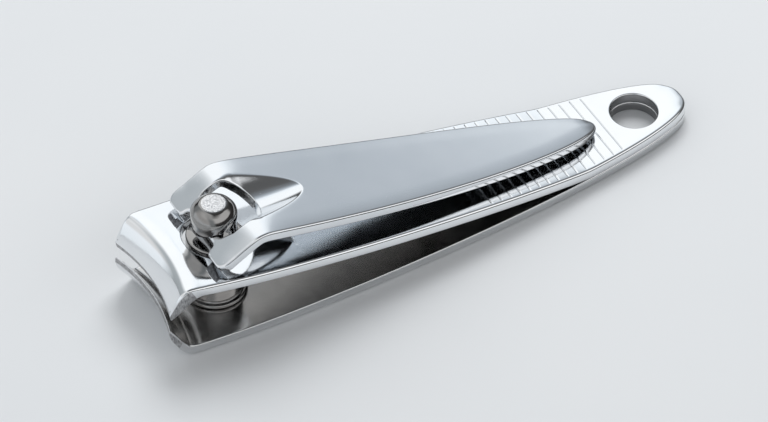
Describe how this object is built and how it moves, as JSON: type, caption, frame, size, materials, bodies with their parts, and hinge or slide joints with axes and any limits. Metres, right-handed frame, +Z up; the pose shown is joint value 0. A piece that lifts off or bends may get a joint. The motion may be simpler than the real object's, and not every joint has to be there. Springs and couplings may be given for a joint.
{
  "type": "nail clipper",
  "caption": "Polished steel lever nail clipper with two sprung jaws, a swivelling hooked post, a folding dimpled lever and a key-ring hole.",
  "frame": {"origin": "middle of the footprint, on the plane of the lower jaw's flat underside", "axes": "+X along the clipper from the blades to the key-ring end, +Y across it, +Z up from the lower jaw to the lever"},
  "size_m": [0.08, 0.0174, 0.0166],
  "materials": {
    "lower_jaw_steel": "mirror-polished nickel plate with fine pits",
    "upper_jaw_steel": "mirror-polished nickel plate, sheared grey at the cutting ends",
    "post_steel": "dark polished turned steel with rough sheared top",
    "lever_steel": "softly polished nickel plate"
  },
  "bodies": {
    "lower_jaw_body": {"lower_jaw": "lower_jaw_steel"},
    "upper_jaw_body": {"upper_jaw": "upper_jaw_steel"},
    "post_body": {"post": "post_steel"},
    "lever_body": {"lever": "lever_steel"}
  },
  "joints": [
    {"name": "jaw_close", "type": "hinge", "parent": "lower_jaw_body", "child": "upper_jaw_body", "pos_m": [0.0218, 0, 0.00145], "axis": [0, -1, 0], "range_deg": [0, 1.4], "stiffness_Nm_per_rad": 2, "springref_deg": -1.15},
    {"name": "post_swivel", "type": "hinge", "parent": "lower_jaw_body", "child": "post_body", "pos_m": [-0.02965, 0, 0], "axis": [0, 0, 1], "continuous": true},
    {"name": "lever_flip", "type": "hinge", "parent": "post_body", "child": "lever_body", "pos_m": [-0.03059, 0.00001, 0.01297], "axis": [-0.014, -0.9999, 0], "range_deg": [0, 150]}
  ]
}
